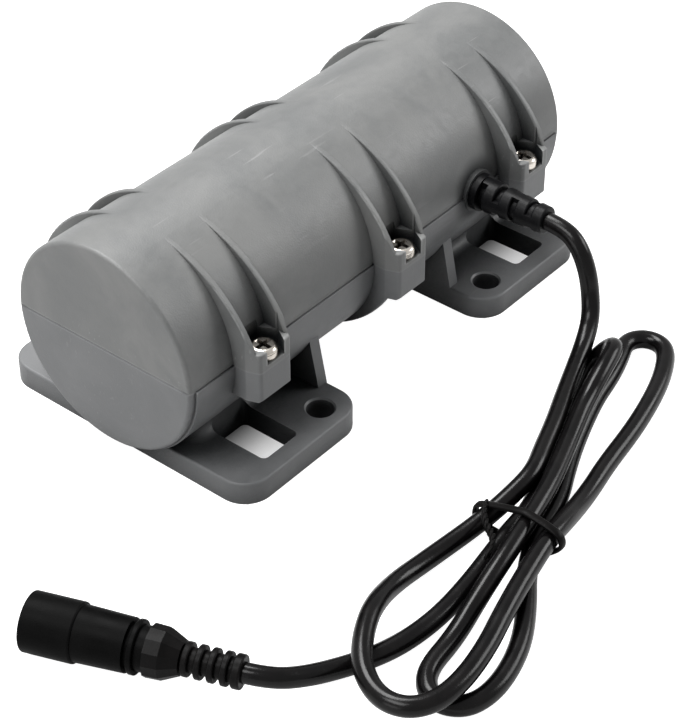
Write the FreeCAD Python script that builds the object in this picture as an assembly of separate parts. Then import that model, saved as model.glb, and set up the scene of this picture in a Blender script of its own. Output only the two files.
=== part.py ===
"""Vibration motor: two-shell moulded casing, brushless motor, eccentric weights and lead.

Frame: X along the shaft, +Z up, the undersides of the feet at Z = 0, origin at the
middle of the feet. The lead leaves the casing on the -Y side near the +X end.
"""
import FreeCAD, Part
import math
import os

V = FreeCAD.Vector
X_AXIS = V(1, 0, 0)
Y_AXIS = V(0, 1, 0)
Z_AXIS = V(0, 0, 1)

# ---- casing -------------------------------------------------------------
body_radius = 22.0            # outside of the upper shell
body_half_length = 58.0       # middle to each flat end face
axis_height = 25.0            # shaft axis above the ground, also the parting line
wall = 2.5
end_wall = 3.0
end_round = 0.8               # rounded rim of the end faces
rim_step = 0.5                # the lower shell stands this much proud of the upper one
rim_inset = 1.5               # where that step starts behind each end face
rim_round = 0.2               # rounded long edges of that step
seam_bevel = 0.25             # broken edges where the shells meet on the end faces
cavity_radius = body_radius - wall
cavity_half_length = body_half_length - end_wall
seat_gap = 0.03               # between curved faces that seat in each other
slide_gap = 0.1               # between a screw or strip and its hole or groove

# ---- feet ---------------------------------------------------------------
foot_inner_x = 20.0
foot_outer_x = 54.5
foot_half_width = 32.2
foot_thickness = 5.0
foot_corner = 6.0
foot_edge_round = 0.5
bolt_x = 27.0
bolt_edge = 5.6               # bolt hole's middle in from the foot's side
bolt_y = foot_half_width - bolt_edge
bolt_hole_radius = 2.8
window_inner_x = 35.5
window_outer_x = 45.5
window_inner_y = 14.4
window_edge = 3.8
window_outer_y = foot_half_width - window_edge
window_corner = 1.2
saddle_half_width = 14.4
saddle_outer_x = 50.0
saddle_corner = 4.0
saddle_flare = 3.0
saddle_drop = 13.0             # shaft axis down to the top of the saddle
saddle_top = axis_height - saddle_drop
gusset_thickness = 2.6
gusset_foot_y = 22.5
gusset_top_y = 20.0
gusset_drop = 8.0             # shaft axis down to the top of the gusset
gusset_top_z = axis_height - gusset_drop

# ---- screw bosses and fins ----------------------------------------------
screw_pitch = 41.0
screw_y = 24.8
boss_outer_y = 27.9
boss_outer_half = 4.2
boss_shoulder_y = 25.0
boss_half_width = 5.25
boss_above = 4.2              # of the parting line
boss_below = 6.8
boss_top_z = axis_height + boss_above
boss_bottom_z = axis_height - boss_below
boss_toe = 2.0                # slope under the boss
fin_thickness = 1.3
fin_radius = 29.2
fin_drop = 7.4                # fin arc centre below the shaft axis
boss_corner = 0.9             # rounded upright edges of a boss
boss_rim = 0.4                # rounded upper edge of a boss
fin_round = 0.35              # rounded outer edges of a fin
mouth_chamfer = 0.35          # broken edges of the holes and windows in the feet
screw_seat_above = 1.0        # of the parting line
screw_seat_z = axis_height + screw_seat_above
recess_across_flats = 7.2
recess_clear = 9.0            # how far the recess is open above its floor

# ---- cover screws (M3 cross-head pan) -----------------------------------
screw_radius = 1.5
screw_head_radius = 2.8
screw_head_height = 2.2
screw_length = 7.0
screw_cross_width = 0.9
screw_cross_depth = 1.3

# ---- seam seal ----------------------------------------------------------
seal_width = 1.2
seal_height = 1.0
seal_inset = 1.25             # outer face of the casing to the strip's middle
seal_corner = 1.4

# ---- cable port and gland -----------------------------------------------
gland_x = 28.5
port_radius = 4.5             # round spot face that the gland's flange sits on
port_face_y = 22.7
gland_neck_radius = 3.0
gland_flange_radius = 3.9
gland_flange_thickness = 1.6
gland_collar_radius = 3.4
gland_collar_thickness = 1.6
gland_root_radius = 3.6
gland_tip_radius = 2.9
gland_core_radius = 2.3
gland_length = 17.1
gland_rings = 4
gland_slot = 1.3              # between two rings
gland_bridge = 2.4            # width of the two webs that cross each slot
gland_ring_round = 0.4

# ---- motor --------------------------------------------------------------
can_clearance = 1.5           # casing's inside to the can, bridged by the ribs
can_radius = cavity_radius - can_clearance
can_wall = 1.2
bell_flange = 1.5
bell_spigot = 3.0
bell_nose_radius = 8.2
bell_nose = 1.0
bell_shaft_hole = 4.6
lead_hole_radius = 1.7
lead_hole_inset = 4.8
lead_hole_y = can_radius - lead_hole_inset
rib_width = 3.0
rib_x = 17.0
stop_width = 2.0
stop_height = 2.9
stop_inner_radius = cavity_radius - stop_height
stop_gap = 0.1

shaft_radius = 2.5
shaft_end_gap = 8.0           # casing's inside to the end of the shaft
shaft_half_length = cavity_half_length - shaft_end_gap
shaft_chamfer = 0.5
weight_shaft_end = 3.0        # shaft that shows outside each weight
weight_width = 13.0
weight_start_x = shaft_half_length - weight_shaft_end - weight_width
weight_run_gap = 6.0          # end of the can to each weight
motor_half_length = weight_start_x - weight_run_gap
bearing_outer_radius = 6.5
bearing_width = 4.0
bearing_outer_x = motor_half_length
ball_radius = 1.1
ball_pitch_radius = 4.6
ball_count = 7
ball_gap = 0.04
inner_ring_radius = 3.75
outer_ring_bore = 5.45
cage_inner_radius = 4.2
cage_outer_radius = 5.0
cage_width = 2.8
spacer_radius = 3.5

stator_end_room = 11.0        # end of the can to the stator's core
stator_half_length = motor_half_length - stator_end_room
yoke_thickness = 1.5
stator_yoke_inner = can_radius - can_wall - yoke_thickness
stator_teeth = 6
tooth_width = 4.4
coil_end_length = 3.0         # coil outside the core at each end
coil_half_length = stator_half_length + coil_end_length
coil_half_width = 5.1
coil_depth = 2.3
coil_shoe_gap = 0.2
coil_yoke_gap = 1.0
coil_outer_r = stator_yoke_inner - coil_yoke_gap
coil_inner_r = coil_outer_r - coil_depth
coil_tooth_gap = 0.1
shoe_thickness = 1.3
shoe_outer = coil_inner_r - coil_shoe_gap
shoe_half_angle = 25.0
stator_bore = shoe_outer - shoe_thickness
air_gap = 0.5
magnet_thickness = 2.0
rotor_core_radius = stator_bore - air_gap - magnet_thickness
rotor_overhang = 1.0          # rotor outside the stator's core at each end
rotor_half_length = stator_half_length + rotor_overhang
magnet_count = 4
magnet_gap_angle = 5.0

board_room = 6.6              # end of the can to the board
board_x = motor_half_length - board_room
board_thickness = 1.2
board_hole = 4.5
board_edge_gap = 0.1
chip_size = 3.4
chip_height = 0.9
chip_circle = 10.5
chip_count = 4
lead_radius = 0.6
lead_spread = 0.8
lead_bend = 1.4

# ---- eccentric weights --------------------------------------------------
weight_clearance = 2.5        # casing's inside to the swinging rim
weight_radius = cavity_radius - weight_clearance
weight_hub_radius = 6.5
weight_half_angle = 82.0
weight_screw_radius = 2.0
weight_screw_length = 3.6

# ---- lead ---------------------------------------------------------------
cord_diameter = 3.8
arc_share = 0.45              # share of the shorter run that each bend takes up
cord_route = [
    (28.5, -39.8, 25.0), (28.4, -44.0, 25.0), (27.8, -47.9, 23.2), (27.3, -50.8, 18.7),
    (26.9, -52.3, 13.4), (24.8, -54.1, 9.4), (20.0, -56.0, 7.0), (13.4, -58.4, 6.1),
    (5.0, -61.6, 5.8), (-3.0, -64.9, 5.8), (-10.4, -67.5, 5.8), (-17.0, -70.1, 5.9),
    (-23.8, -69.9, 4.7), (-31.4, -68.9, 3.1), (-44.8, -66.7, 1.9), (-54.4, -66.4, 3.0),
    (-63.6, -68.9, 6.0), (-70.4, -72.2, 6.1), (-75.4, -76.0, 5.7), (-78.4, -80.6, 5.3),
    (-79.3, -85.2, 5.6), (-77.6, -89.2, 5.9), (-73.0, -91.3, 5.9), (-66.7, -91.4, 5.9),
    (-58.8, -90.0, 5.9), (-50.7, -87.6, 6.0), (-42.0, -85.3, 6.1), (-31.0, -82.8, 6.1),
    (-24.0, -81.7, 4.9), (-17.0, -80.1, 2.9), (-10.0, -78.6, 1.9), (-2.6, -77.0, 1.9),
    (9.2, -75.3, 1.9), (19.4, -73.0, 1.9), (27.4, -70.4, 1.9), (34.2, -66.9, 1.9),
    (35.6, -63.5, 1.9), (34.2, -60.2, 1.9), (30.8, -58.9, 1.9), (25.8, -61.0, 1.9),
    (19.8, -62.8, 1.9), (12.8, -64.2, 1.9), (5.4, -66.5, 1.9), (-2.1, -69.2, 1.9),
    (-9.0, -72.1, 1.9), (-15.4, -75.2, 1.9), (-22.5, -77.7, 2.5), (-30.0, -79.6, 3.35),
    (-36.6, -82.6, 2.4), (-43.2, -87.4, 1.9), (-50.5, -91.7, 1.9), (-57.7, -94.1, 1.9),
    (-64.2, -94.8, 1.9), (-68.9, -93.5, 1.9), (-71.2, -89.9, 1.9), (-70.4, -86.0, 1.9),
    (-66.3, -83.1, 1.9), (-57.4, -82.2, 1.9), (-49.3, -80.9, 4.0), (-41.0, -79.7, 5.9),
    (-33.0, -78.3, 6.5), (-26.0, -76.7, 6.5), (-18.0, -74.5, 6.2), (-9.5, -71.5, 5.8),
    (-1.5, -68.6, 5.8), (6.2, -65.9, 6.2), (13.0, -64.7, 8.6), (20.4, -63.0, 9.3),
    (22.5, -60.6, 7.1), (21.8, -58.5, 4.1), (18.7, -57.8, 1.9), (11.5, -60.3, 1.9),
    (4.0, -62.6, 1.9), (-3.5, -65.3, 1.9), (-10.5, -68.2, 1.9), (-17.0, -71.4, 1.9),
    (-23.5, -73.7, 2.7), (-31.0, -74.7, 3.3), (-38.0, -75.4, 2.5), (-45.0, -76.2, 1.9),
    (-53.9, -77.0, 1.9), (-61.7, -76.5, 1.9), (-68.1, -75.0, 1.9), (-74.6, -72.0, 1.9),
    (-82.0, -69.0, 3.4), (-87.6, -66.2, 5.6), (-89.3, -61.9, 5.6),
]

# ---- tie round the hank -------------------------------------------------
tie_x = -30.0
tie_wire_radius = 0.55
tie_loop = [
    (-67.9, 0.56), (-80.0, 0.56), (-81.2, 0.85), (-85.2, 4.6), (-85.7, 6.4), (-84.5, 8.3),
    (-78.0, 9.1), (-76.8, 9.05), (-67.3, 5.65), (-66.35, 4.4), (-66.35, 1.9),
]

# ---- barrel connector ---------------------------------------------------
connector_direction = V(-14.4, 36.8, 0)     # from the cord towards the open end
connector_head_radius = 5.5
connector_head_length = 9.7
connector_head_step = 0.35    # body below the head's rim
connector_body_radius = 4.9
connector_groove_depth = 0.8
connector_groove_width = 0.8
connector_groove_pitch = 1.8
connector_edge = 0.4
connector_length = 22.5
socket_radius = 2.85
socket_depth = 11.0
socket_wall = 0.25
socket_lip = 1.0
pin_radius = 1.0
pin_length = 10.0
boot_collar_length = 2.8
boot_collar_radius = 4.7
boot_taper_length = 3.2
boot_neck_radius = 3.2
boot_ring_radius = 3.1
boot_core_radius = 2.25
boot_ring_count = 5
boot_ring_width = 1.2
boot_end_ring_width = 1.6
boot_ring_pitch = 2.35
boot_ring_round = 0.3
boot_facets = 12


# ---- helpers ------------------------------------------------------------
def box(x0, x1, y0, y1, z0, z1):
    return Part.makeBox(x1 - x0, y1 - y0, z1 - z0, V(x0, y0, z0))


def rod(radius, x0, x1, y=0.0, z=axis_height):
    """Cylinder along X."""
    return Part.makeCylinder(radius, x1 - x0, V(x0, y, z), X_AXIS)


def sleeve(outer, inner, x0, x1):
    """Tube about the shaft axis."""
    return rod(outer, x0, x1).cut(rod(inner, x0 - 1, x1 + 1))


def prism(points, direction):
    """Extrude a closed polygon of (x, y, z) points."""
    corners = [V(*p) for p in points]
    return Part.Face(Part.makePolygon(corners + corners[:1])).extrude(direction)


def fuse_all(shapes):
    first, *others = shapes
    return first.multiFuse(others) if others else first


def mirror_x(shape):
    return shape.mirror(V(0, 0, 0), X_AXIS)


def turn_about_z(shape):
    """A copy turned half round the Z axis, onto the other end of the shaft."""
    turned = shape.copy()
    turned.rotate(V(0, 0, 0), Z_AXIS, 180)
    return turned


def mirror_y(shape):
    return shape.mirror(V(0, 0, 0), Y_AXIS)


def four_ways(shape):
    """The shape with its mirror images about X = 0 and Y = 0."""
    pair = [shape, mirror_x(shape)]
    return pair + [mirror_y(s) for s in pair]


def rounded_plate(x0, x1, y0, y1, z0, z1, corner):
    plate = box(x0, x1, y0, y1, z0, z1)
    upright = [e for e in plate.Edges if abs(e.BoundBox.ZLength - (z1 - z0)) < 1e-6]
    return plate.makeFillet(corner, upright)


def tangent_path(points, closed=False):
    """Straight runs joined by tangent arcs, each as large as its two runs allow."""
    nodes = [V(*p) for p in points]
    count = len(nodes)
    turns = range(count) if closed else range(1, count - 1)
    edges = []
    radii = []
    starts = {}
    ends = {}
    arcs = {}
    for i in turns:
        before = nodes[i - 1] - nodes[i]
        after = nodes[(i + 1) % count] - nodes[i]
        reach = arc_share * min(before.Length, after.Length)
        inward = V(before).normalize()
        outward = V(after).normalize()
        turn = math.pi - inward.getAngle(outward)
        radii.append(reach / math.tan(turn / 2))
        bisector = (inward + outward).normalize()
        middle_reach = radii[-1] * (1 / math.cos(turn / 2) - 1)
        starts[i] = nodes[i] + inward * reach
        ends[i] = nodes[i] + outward * reach
        arcs[i] = Part.Arc(starts[i], nodes[i] + bisector * middle_reach, ends[i]).toShape()
    here = ends[count - 1] if closed else nodes[0]
    for i in turns:
        edges.append(Part.LineSegment(here, starts[i]).toShape())
        edges.append(arcs[i])
        here = ends[i]
    if not closed:
        edges.append(Part.LineSegment(here, nodes[-1]).toShape())
    return Part.Wire(edges), radii


def tube(points, radius, closed=False):
    path, radii = tangent_path(points, closed)
    start = path.Edges[0].Vertexes[0].Point
    heading = path.Edges[0].tangentAt(path.Edges[0].FirstParameter)
    profile = Part.Wire(Part.Circle(start, heading, radius).toShape())
    solid = path.makePipeShell([profile], True, False)
    return Part.makeSolid(solid) if solid.ShapeType != "Solid" else solid, path, radii


# ---- casing -------------------------------------------------------------
def screw_places():
    return [(sx * screw_pitch, sy) for sx in (-1, 0, 1) for sy in (-1, 1)]


def boss_prism(x, side, z0, z1, rim=0.0):
    """Boss plan, from the shaft's plane out to its narrowed outer face, edges rounded."""
    plan = [
        (x - boss_half_width, 0, z0),
        (x - boss_half_width, side * boss_shoulder_y, z0),
        (x - boss_outer_half, side * boss_outer_y, z0),
        (x + boss_outer_half, side * boss_outer_y, z0),
        (x + boss_half_width, side * boss_shoulder_y, z0),
        (x + boss_half_width, 0, z0),
    ]
    block = prism(plan, V(0, 0, z1 - z0))
    upright = [e for e in block.Edges if e.BoundBox.ZLength > z1 - z0 - 1e-6
               and abs(e.BoundBox.YMax + e.BoundBox.YMin) > boss_shoulder_y]
    block = block.makeFillet(boss_corner, upright)
    if rim:
        top = [e for e in block.Edges if e.BoundBox.ZMin > z1 - 1e-6
               and abs(e.BoundBox.YMax + e.BoundBox.YMin) > boss_shoulder_y]
        block = block.makeFillet(rim, top)
    return block


def fins(x, side, upward):
    """Two thin fins that leave the barrel tangentially and end in the boss's side walls."""
    centre_z = axis_height - fin_drop if upward else axis_height + fin_drop
    outer_x = x + boss_half_width
    inner_x = outer_x - fin_thickness
    z0, z1 = (axis_height, axis_height + fin_radius) if upward else (0, boss_bottom_z + 1)
    clip = boss_prism(x, side, z0, z1)
    pair = []
    for start in (inner_x, 2 * x - outer_x):
        disc = rod(fin_radius, start, start + fin_thickness, z=centre_z)
        disc = disc.makeFillet(fin_round, [e for e in disc.Edges if isinstance(e.Curve, Part.Circle)])
        pair.append(disc.common(clip))
    return pair


def hex_recess(x, side):
    """Hexagonal pocket for the screw head, open upwards, a flat facing along X."""
    corner = recess_across_flats / math.sqrt(3)
    points = []
    for k in range(6):
        a = math.radians(60 * k + 30)
        points.append((x + corner * math.sin(a), side * screw_y + corner * math.cos(a), screw_seat_z))
    return prism(points, V(0, 0, recess_clear))


def end_rounded_barrel(radius, half_length):
    barrel = rod(radius, -half_length, half_length)
    rims = [e for e in barrel.Edges if isinstance(e.Curve, Part.Circle)]
    return barrel.makeFillet(end_round, rims)


def cavity():
    return rod(cavity_radius, -cavity_half_length, cavity_half_length)


def motor_ribs():
    """Rings inside the casing that grip the motor can and stop it sliding."""
    rings = []
    for sx in (-1, 1):
        near, far = sorted((sx * rib_x, sx * (rib_x + rib_width)))
        rings.append(sleeve(cavity_radius + wall / 2, can_radius + seat_gap, near, far))
        stop_start = motor_half_length + stop_gap
        near, far = sorted((sx * stop_start, sx * (stop_start + stop_width)))
        rings.append(sleeve(cavity_radius + wall / 2, stop_inner_radius, near, far))
    return rings


def seal_frame(clearance):
    """Strip round the parting line, or with a clearance the groove that holds it."""
    half_x = body_half_length - seal_inset
    half_y = body_radius - seal_inset
    half_w = seal_width / 2 + clearance
    z0 = axis_height - seal_height / 2 - clearance
    z1 = axis_height + seal_height / 2 + clearance
    outer = rounded_plate(-half_x - half_w, half_x + half_w, -half_y - half_w, half_y + half_w,
                          z0, z1, seal_corner + half_w)
    inner = rounded_plate(-half_x + half_w, half_x - half_w, -half_y + half_w, half_y - half_w,
                          z0 - 1, z1 + 1, seal_corner - half_w)
    return outer.cut(inner)


def gland_cut():
    """Room that both shells leave for the gland's neck and its inner collar."""
    neck = Part.makeCylinder(gland_neck_radius + seat_gap, wall * 4,
                             V(gland_x, -port_face_y - 1, axis_height), Y_AXIS)
    collar_y = collar_outer_y()
    collar = Part.makeCylinder(gland_collar_radius + slide_gap * 3, gland_collar_thickness + 2,
                               V(gland_x, collar_y, axis_height), Y_AXIS)
    return neck.fuse(collar)


def collar_outer_y():
    """The inner collar bears on the curved wall at its upper and lower edges."""
    return -math.sqrt(cavity_radius ** 2 - gland_collar_radius ** 2)


def port_pad():
    return Part.makeCylinder(port_radius, port_face_y - cavity_radius,
                             V(gland_x, -port_face_y, axis_height), Y_AXIS)


def seam_grooves():
    """V-grooves that the broken edges of both shells leave across the end faces."""
    groove = prism([
        (body_half_length - seam_bevel, -body_radius - 1, axis_height),
        (body_half_length + seam_bevel, -body_radius - 1, axis_height - seam_bevel * 2),
        (body_half_length + seam_bevel, -body_radius - 1, axis_height + seam_bevel * 2),
    ], V(0, 2 * body_radius + 2, 0))
    return groove.fuse(mirror_x(groove))


def belt():
    """Proud skin of the lower shell, its long upper edges rounded."""
    end = body_half_length - rim_inset
    skin = rod(body_radius + rim_step, -end, end)
    skin = skin.cut(box(-100, 100, -100, 100, axis_height, 200))
    long_edges = [e for e in skin.Edges if e.BoundBox.XLength > 2 * end - 1e-6
                  and e.BoundBox.ZMin > axis_height - 1e-6]
    return skin.makeFillet(rim_round, long_edges)


def upper_shell():
    barrel = end_rounded_barrel(body_radius, body_half_length)
    parts = [barrel]
    for x, side in screw_places():
        parts.append(boss_prism(x, side, axis_height, boss_top_z, rim=boss_rim))
        parts.extend(fins(x, side, upward=True))
    parts.append(port_pad())
    shell = fuse_all(parts)
    shell = shell.cut(cavity())
    shell = fuse_all([shell] + motor_ribs())
    tools = [box(-100, 100, -100, 100, -100, axis_height), seal_frame(slide_gap / 2),
             gland_cut(), seam_grooves()]
    for x, side in screw_places():
        tools.append(hex_recess(x, side))
        tools.append(Part.makeCylinder(screw_radius + slide_gap, boss_top_z,
                                       V(x, side * screw_y, 0)))
    return shell.cut(fuse_all(tools)).removeSplitter()


def foot():
    """One foot: plate, saddle with flared base and the cross gusset on its inner side."""
    plate = rounded_plate(foot_inner_x, foot_outer_x, -foot_half_width, foot_half_width,
                          0, foot_thickness, foot_corner)
    top_edges = [e for e in plate.Edges if e.BoundBox.ZMin > foot_thickness - 1e-6]
    plate = plate.makeFillet(foot_edge_round, top_edges)
    saddle = rounded_plate(foot_inner_x + gusset_thickness, saddle_outer_x, -saddle_half_width,
                           saddle_half_width, 0, saddle_top, saddle_corner)
    block = plate.fuse(saddle)
    base = []
    for e in block.Edges:
        b = e.BoundBox
        flat = b.ZLength < 1e-6 and abs(b.ZMin - foot_thickness) < 1e-6
        inside = b.YMax < saddle_half_width + 1e-3 and b.YMin > -saddle_half_width - 1e-3
        if flat and inside and b.XMax < saddle_outer_x + 1e-3 and b.XMin > foot_inner_x + 1:
            base.append(e)
    block = block.makeFillet(saddle_flare - gusset_thickness * 0.2, base)
    gusset = prism([
        (foot_inner_x, -gusset_foot_y, foot_thickness / 2),
        (foot_inner_x, gusset_foot_y, foot_thickness / 2),
        (foot_inner_x, gusset_foot_y, foot_thickness),
        (foot_inner_x, gusset_top_y, gusset_top_z),
        (foot_inner_x, -gusset_top_y, gusset_top_z),
        (foot_inner_x, -gusset_foot_y, foot_thickness),
    ], V(gusset_thickness, 0, 0))
    return block.fuse(gusset)


def foot_cuts():
    """Window and bolt hole of one corner."""
    window = rounded_plate(window_inner_x, window_outer_x, window_inner_y, window_outer_y,
                           -1, saddle_top, window_corner)
    hole = Part.makeCylinder(bolt_hole_radius, foot_thickness + 2, V(bolt_x, bolt_y, -1))
    mouth_radius = bolt_hole_radius + mouth_chamfer
    mouth = Part.makeCone(bolt_hole_radius, mouth_radius + mouth_chamfer, mouth_chamfer * 2,
                          V(bolt_x, bolt_y, foot_thickness - mouth_chamfer))
    return [window, hole, mouth]


def lower_boss(x, side):
    boss = boss_prism(x, side, boss_bottom_z, axis_height)
    toe = prism([
        (x - 2 * boss_half_width, side * (boss_outer_y + 1), boss_bottom_z - 1),
        (x - 2 * boss_half_width, side * (boss_outer_y + 1), boss_bottom_z + boss_toe * 0.6),
        (x - 2 * boss_half_width, side * (boss_outer_y - boss_toe), boss_bottom_z - 1),
    ], V(4 * boss_half_width, 0, 0))
    return boss.cut(toe)


def lower_shell():
    barrel = end_rounded_barrel(body_radius, body_half_length)
    right_foot = foot()
    parts = [barrel, belt(), right_foot, mirror_x(right_foot), port_pad()]
    for x, side in screw_places():
        parts.append(lower_boss(x, side))
        if x == 0:
            parts.extend(fins(x, side, upward=False))
    shell = fuse_all(parts)
    shell = shell.cut(cavity())
    shell = fuse_all([shell] + motor_ribs())
    tools = [box(-100, 100, -100, 100, axis_height, 200), seal_frame(slide_gap / 2),
             gland_cut(), seam_grooves()]
    for tool in foot_cuts():
        tools.extend(four_ways(tool))
    for x, side in screw_places():
        bottom = screw_seat_z - screw_length - slide_gap
        tools.append(Part.makeCylinder(screw_radius + seat_gap, screw_length * 2,
                                       V(x, side * screw_y, bottom)))
    return shell.cut(fuse_all(tools)).removeSplitter()


def cover_screws():
    solids = []
    for x, side in screw_places():
        at = V(x, side * screw_y, screw_seat_z)
        shank = Part.makeCylinder(screw_radius, screw_length, at - Z_AXIS * screw_length)
        head = Part.makeCylinder(screw_head_radius, screw_head_height, at)
        crown = [e for e in head.Edges if e.BoundBox.ZMin > screw_seat_z + screw_head_height - 1e-6]
        head = head.makeFillet(screw_head_height * 0.45, crown)
        solids.append(shank.fuse(head).cut(cross_recess(x, side * screw_y)))
    return Part.makeCompound(solids)


def cross_recess(x, y):
    """Cross-shaped driver recess with tapering arms."""
    top_z = screw_seat_z + screw_head_height
    floor_z = top_z - screw_cross_depth
    arm = screw_head_radius * 0.62
    half = screw_cross_width / 2
    arms = []
    for angle in (0, 90):
        profile = prism([
            (x - arm * 0.45, y - half, floor_z),
            (x + arm * 0.45, y - half, floor_z),
            (x + arm * 1.1, y - half, top_z + 0.2),
            (x - arm * 1.1, y - half, top_z + 0.2),
        ], V(0, screw_cross_width, 0))
        profile.rotate(V(x, y, 0), Z_AXIS, angle)
        arms.append(profile)
    return fuse_all(arms)


def seam_seal():
    return seal_frame(0).cut(gland_cut())


# ---- gland and lead -----------------------------------------------------
def cable_gland():
    """Rubber strain relief: inner collar, neck, outer flange and notched tapering rings."""
    tip_y = -port_face_y - gland_length
    collar_y = collar_outer_y()
    collar = Part.makeCylinder(gland_collar_radius, gland_collar_thickness,
                               V(gland_x, collar_y, axis_height), Y_AXIS)
    neck = Part.makeCylinder(gland_neck_radius, collar_y + port_face_y + 0.5,
                             V(gland_x, -port_face_y, axis_height), Y_AXIS)
    flange = Part.makeCylinder(gland_flange_radius, gland_flange_thickness,
                               V(gland_x, -port_face_y - gland_flange_thickness, axis_height), Y_AXIS)
    core = Part.makeCylinder(gland_core_radius, gland_length,
                             V(gland_x, tip_y, axis_height), Y_AXIS)
    parts = [collar, neck, flange, core]
    pitch = (gland_length - gland_flange_thickness) / gland_rings
    for k in range(gland_rings):
        start = tip_y + k * pitch
        ring = gland_taper(start, start + pitch - gland_slot)
        rims = [e for e in ring.Edges if isinstance(e.Curve, Part.Circle)]
        parts.append(ring.makeFillet(gland_ring_round, rims))
        parts.append(gland_webs(start + pitch - gland_slot, start + pitch, 90 * (k % 2)))
    return fuse_all(parts)


def gland_taper(y0, y1):
    """Piece of the gland's tapering sleeve between two planes."""
    tip_y = -port_face_y - gland_length
    slope = (gland_root_radius - gland_tip_radius) / (gland_length - gland_flange_thickness)
    return Part.makeCone(gland_tip_radius + slope * (y0 - tip_y),
                         gland_tip_radius + slope * (y1 - tip_y),
                         y1 - y0, V(gland_x, y0, axis_height), Y_AXIS)


def gland_webs(y0, y1, angle):
    """The two webs that join neighbouring rings across a slot."""
    lap = gland_ring_round * 1.5
    half = gland_bridge / 2
    slab = box(gland_x - half, gland_x + half, y0 - lap, y1 + lap,
               axis_height - gland_root_radius, axis_height + gland_root_radius)
    slab.rotate(V(gland_x, y0, axis_height), Y_AXIS, 90 - angle)
    inset = gland_taper(y0 - lap, y1 + lap)
    return slab.common(inset)


def supply_cord():
    solid, path, radii = tube(cord_route, cord_diameter / 2)
    section = math.pi * cord_diameter ** 2 / 4
    print("cord length %.1f mm, volume / (section x length) %.4f"
          % (path.Length, solid.Volume / (section * path.Length)))
    print("cord bend radii, mm:", " ".join("%.1f" % r for r in radii))
    return solid


def cord_tie():
    points = [(tie_x, y, z) for y, z in tie_loop]
    solid, path, radii = tube(points, tie_wire_radius, closed=True)
    return solid


def power_leads():
    start_y = collar_outer_y() + gland_collar_thickness
    solids = []
    for sz in (-1, 1):
        z = axis_height + sz * lead_spread
        route = [(gland_x, start_y, z), (gland_x, -lead_hole_y, z),
                 (board_x + board_thickness, -lead_hole_y, z)]
        solid, path, radii = tube(route, lead_radius)
        solids.append(solid)
    return Part.makeCompound(solids)


# ---- motor --------------------------------------------------------------
def bell(sx):
    """Bearing cover: flange on the can's end, spigot inside it and a nose round the bearing."""
    flange_x = motor_half_length - bell_flange
    body = fuse_all([
        rod(can_radius, flange_x, motor_half_length),
        rod(can_radius - can_wall - seat_gap, flange_x - bell_spigot, flange_x),
        rod(bell_nose_radius, flange_x, motor_half_length + bell_nose),
    ])
    seat = rod(bearing_outer_radius + seat_gap, flange_x - bell_spigot - 1, bearing_outer_x)
    hole = rod(bell_shaft_hole, 0, body_half_length)
    body = body.cut(seat).cut(hole)
    return body if sx > 0 else mirror_x(body)


def rear_bell():
    lead_hole = rod(lead_hole_radius, 0, body_half_length, y=-lead_hole_y)
    return bell(1).cut(lead_hole)


def motor_can():
    end = motor_half_length - bell_flange
    return sleeve(can_radius, can_radius - can_wall, -end, end)


def radial_sector(outer, inner, half_length, half_angle, at_angle):
    """Piece of a sleeve, centred on an angle measured from +Z."""
    ring = sleeve(outer, inner, -half_length, half_length)
    reach = outer * 3
    a = math.radians(half_angle)
    wedge = prism([
        (-half_length - 1, 0, axis_height),
        (-half_length - 1, reach * math.sin(a), axis_height + reach * math.cos(a)),
        (-half_length - 1, -reach * math.sin(a), axis_height + reach * math.cos(a)),
    ], V(2 * half_length + 2, 0, 0))
    piece = ring.common(wedge)
    piece.rotate(V(0, 0, axis_height), X_AXIS, at_angle)
    return piece


def stator_core():
    parts = [sleeve(can_radius - can_wall - seat_gap, stator_yoke_inner,
                    -stator_half_length, stator_half_length)]
    for k in range(stator_teeth):
        angle = 360 / stator_teeth * k
        tooth = box(-stator_half_length, stator_half_length, -tooth_width / 2, tooth_width / 2,
                    axis_height + (stator_bore + shoe_outer) / 2,
                    axis_height + stator_yoke_inner + 0.5)
        tooth.rotate(V(0, 0, axis_height), X_AXIS, angle)
        parts.append(tooth)
        parts.append(radial_sector(shoe_outer, stator_bore, stator_half_length,
                                   shoe_half_angle, angle))
    return fuse_all(parts).removeSplitter()


def stator_coils():
    coils = []
    for k in range(stator_teeth):
        z0 = axis_height + coil_inner_r
        z1 = axis_height + coil_outer_r
        loop = box(-coil_half_length, coil_half_length, -coil_half_width, coil_half_width, z0, z1)
        hole_x = stator_half_length + coil_tooth_gap
        hole_y = tooth_width / 2 + coil_tooth_gap
        loop = loop.cut(box(-hole_x, hole_x, -hole_y, hole_y, z0 - 1, z1 + 1))
        loop.rotate(V(0, 0, axis_height), X_AXIS, 360 / stator_teeth * k)
        coils.append(loop)
    return Part.makeCompound(coils)


def driver_board():
    disc = sleeve(can_radius - can_wall - board_edge_gap, board_hole, board_x,
                  board_x + board_thickness)
    return disc


def board_components():
    chips = []
    for k in range(chip_count):
        chip = box(board_x - chip_height, board_x, -chip_size / 2, chip_size / 2,
                   axis_height + chip_circle - chip_size / 2,
                   axis_height + chip_circle + chip_size / 2)
        chip.rotate(V(0, 0, axis_height), X_AXIS, 360 / chip_count * (k + 0.5))
        chips.append(chip)
    return Part.makeCompound(chips)


def rotor_shaft():
    shaft = rod(shaft_radius, -shaft_half_length, shaft_half_length)
    rims = [e for e in shaft.Edges if isinstance(e.Curve, Part.Circle)]
    return shaft.makeChamfer(shaft_chamfer, rims)


def rotor_core():
    return sleeve(rotor_core_radius, shaft_radius + seat_gap, -rotor_half_length, rotor_half_length)


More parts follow.
